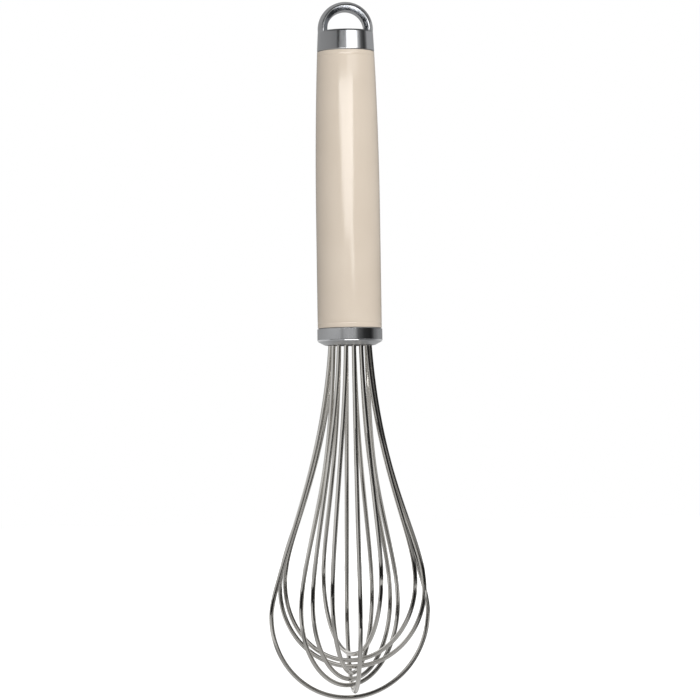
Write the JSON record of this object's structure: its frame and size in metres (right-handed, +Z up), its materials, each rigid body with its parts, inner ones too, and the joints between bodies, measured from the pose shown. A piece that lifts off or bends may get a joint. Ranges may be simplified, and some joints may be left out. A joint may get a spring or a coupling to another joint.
{
  "type": "balloon whisk",
  "caption": "Hand balloon whisk: nested steel wire loops in a bevelled ferrule, a rounded plastic grip, and a polished end cap with a hanging loop.",
  "frame": {"origin": "inner top of the hanging loop, half way through it, where a hook bears", "axes": "+Z up along the whisk from its tip to the hanging loop, +Y through the hanging loop along the hook, +X across the loop to the right when it is seen from -Y"},
  "size_m": [0.0626, 0.0607, 0.2666],
  "materials": {
    "polished_steel": "polished stainless steel",
    "wire_steel": "bright drawn stainless spring wire",
    "grip_plastic": "glossy cream moulding",
    "seal_rubber": "dark sealing compound",
    "holder_plastic": "grey moulding, hidden but for its lower face",
    "resin": "cast epoxy, hidden"
  },
  "bodies": {
    "root": {"end_cap": "polished_steel", "cap_seal": "seal_rubber", "grip": "grip_plastic", "ferrule_seal": "seal_rubber", "ferrule": "polished_steel", "wire_holder": "holder_plastic", "potting_resin": "resin", "wire_loop_1": "wire_steel", "wire_loop_2": "wire_steel", "wire_loop_3": "wire_steel", "wire_loop_4": "wire_steel", "wire_loop_5": "wire_steel", "wire_loop_6": "wire_steel", "wire_loop_7": "wire_steel", "wire_loop_8": "wire_steel"}
  },
  "joints": []
}
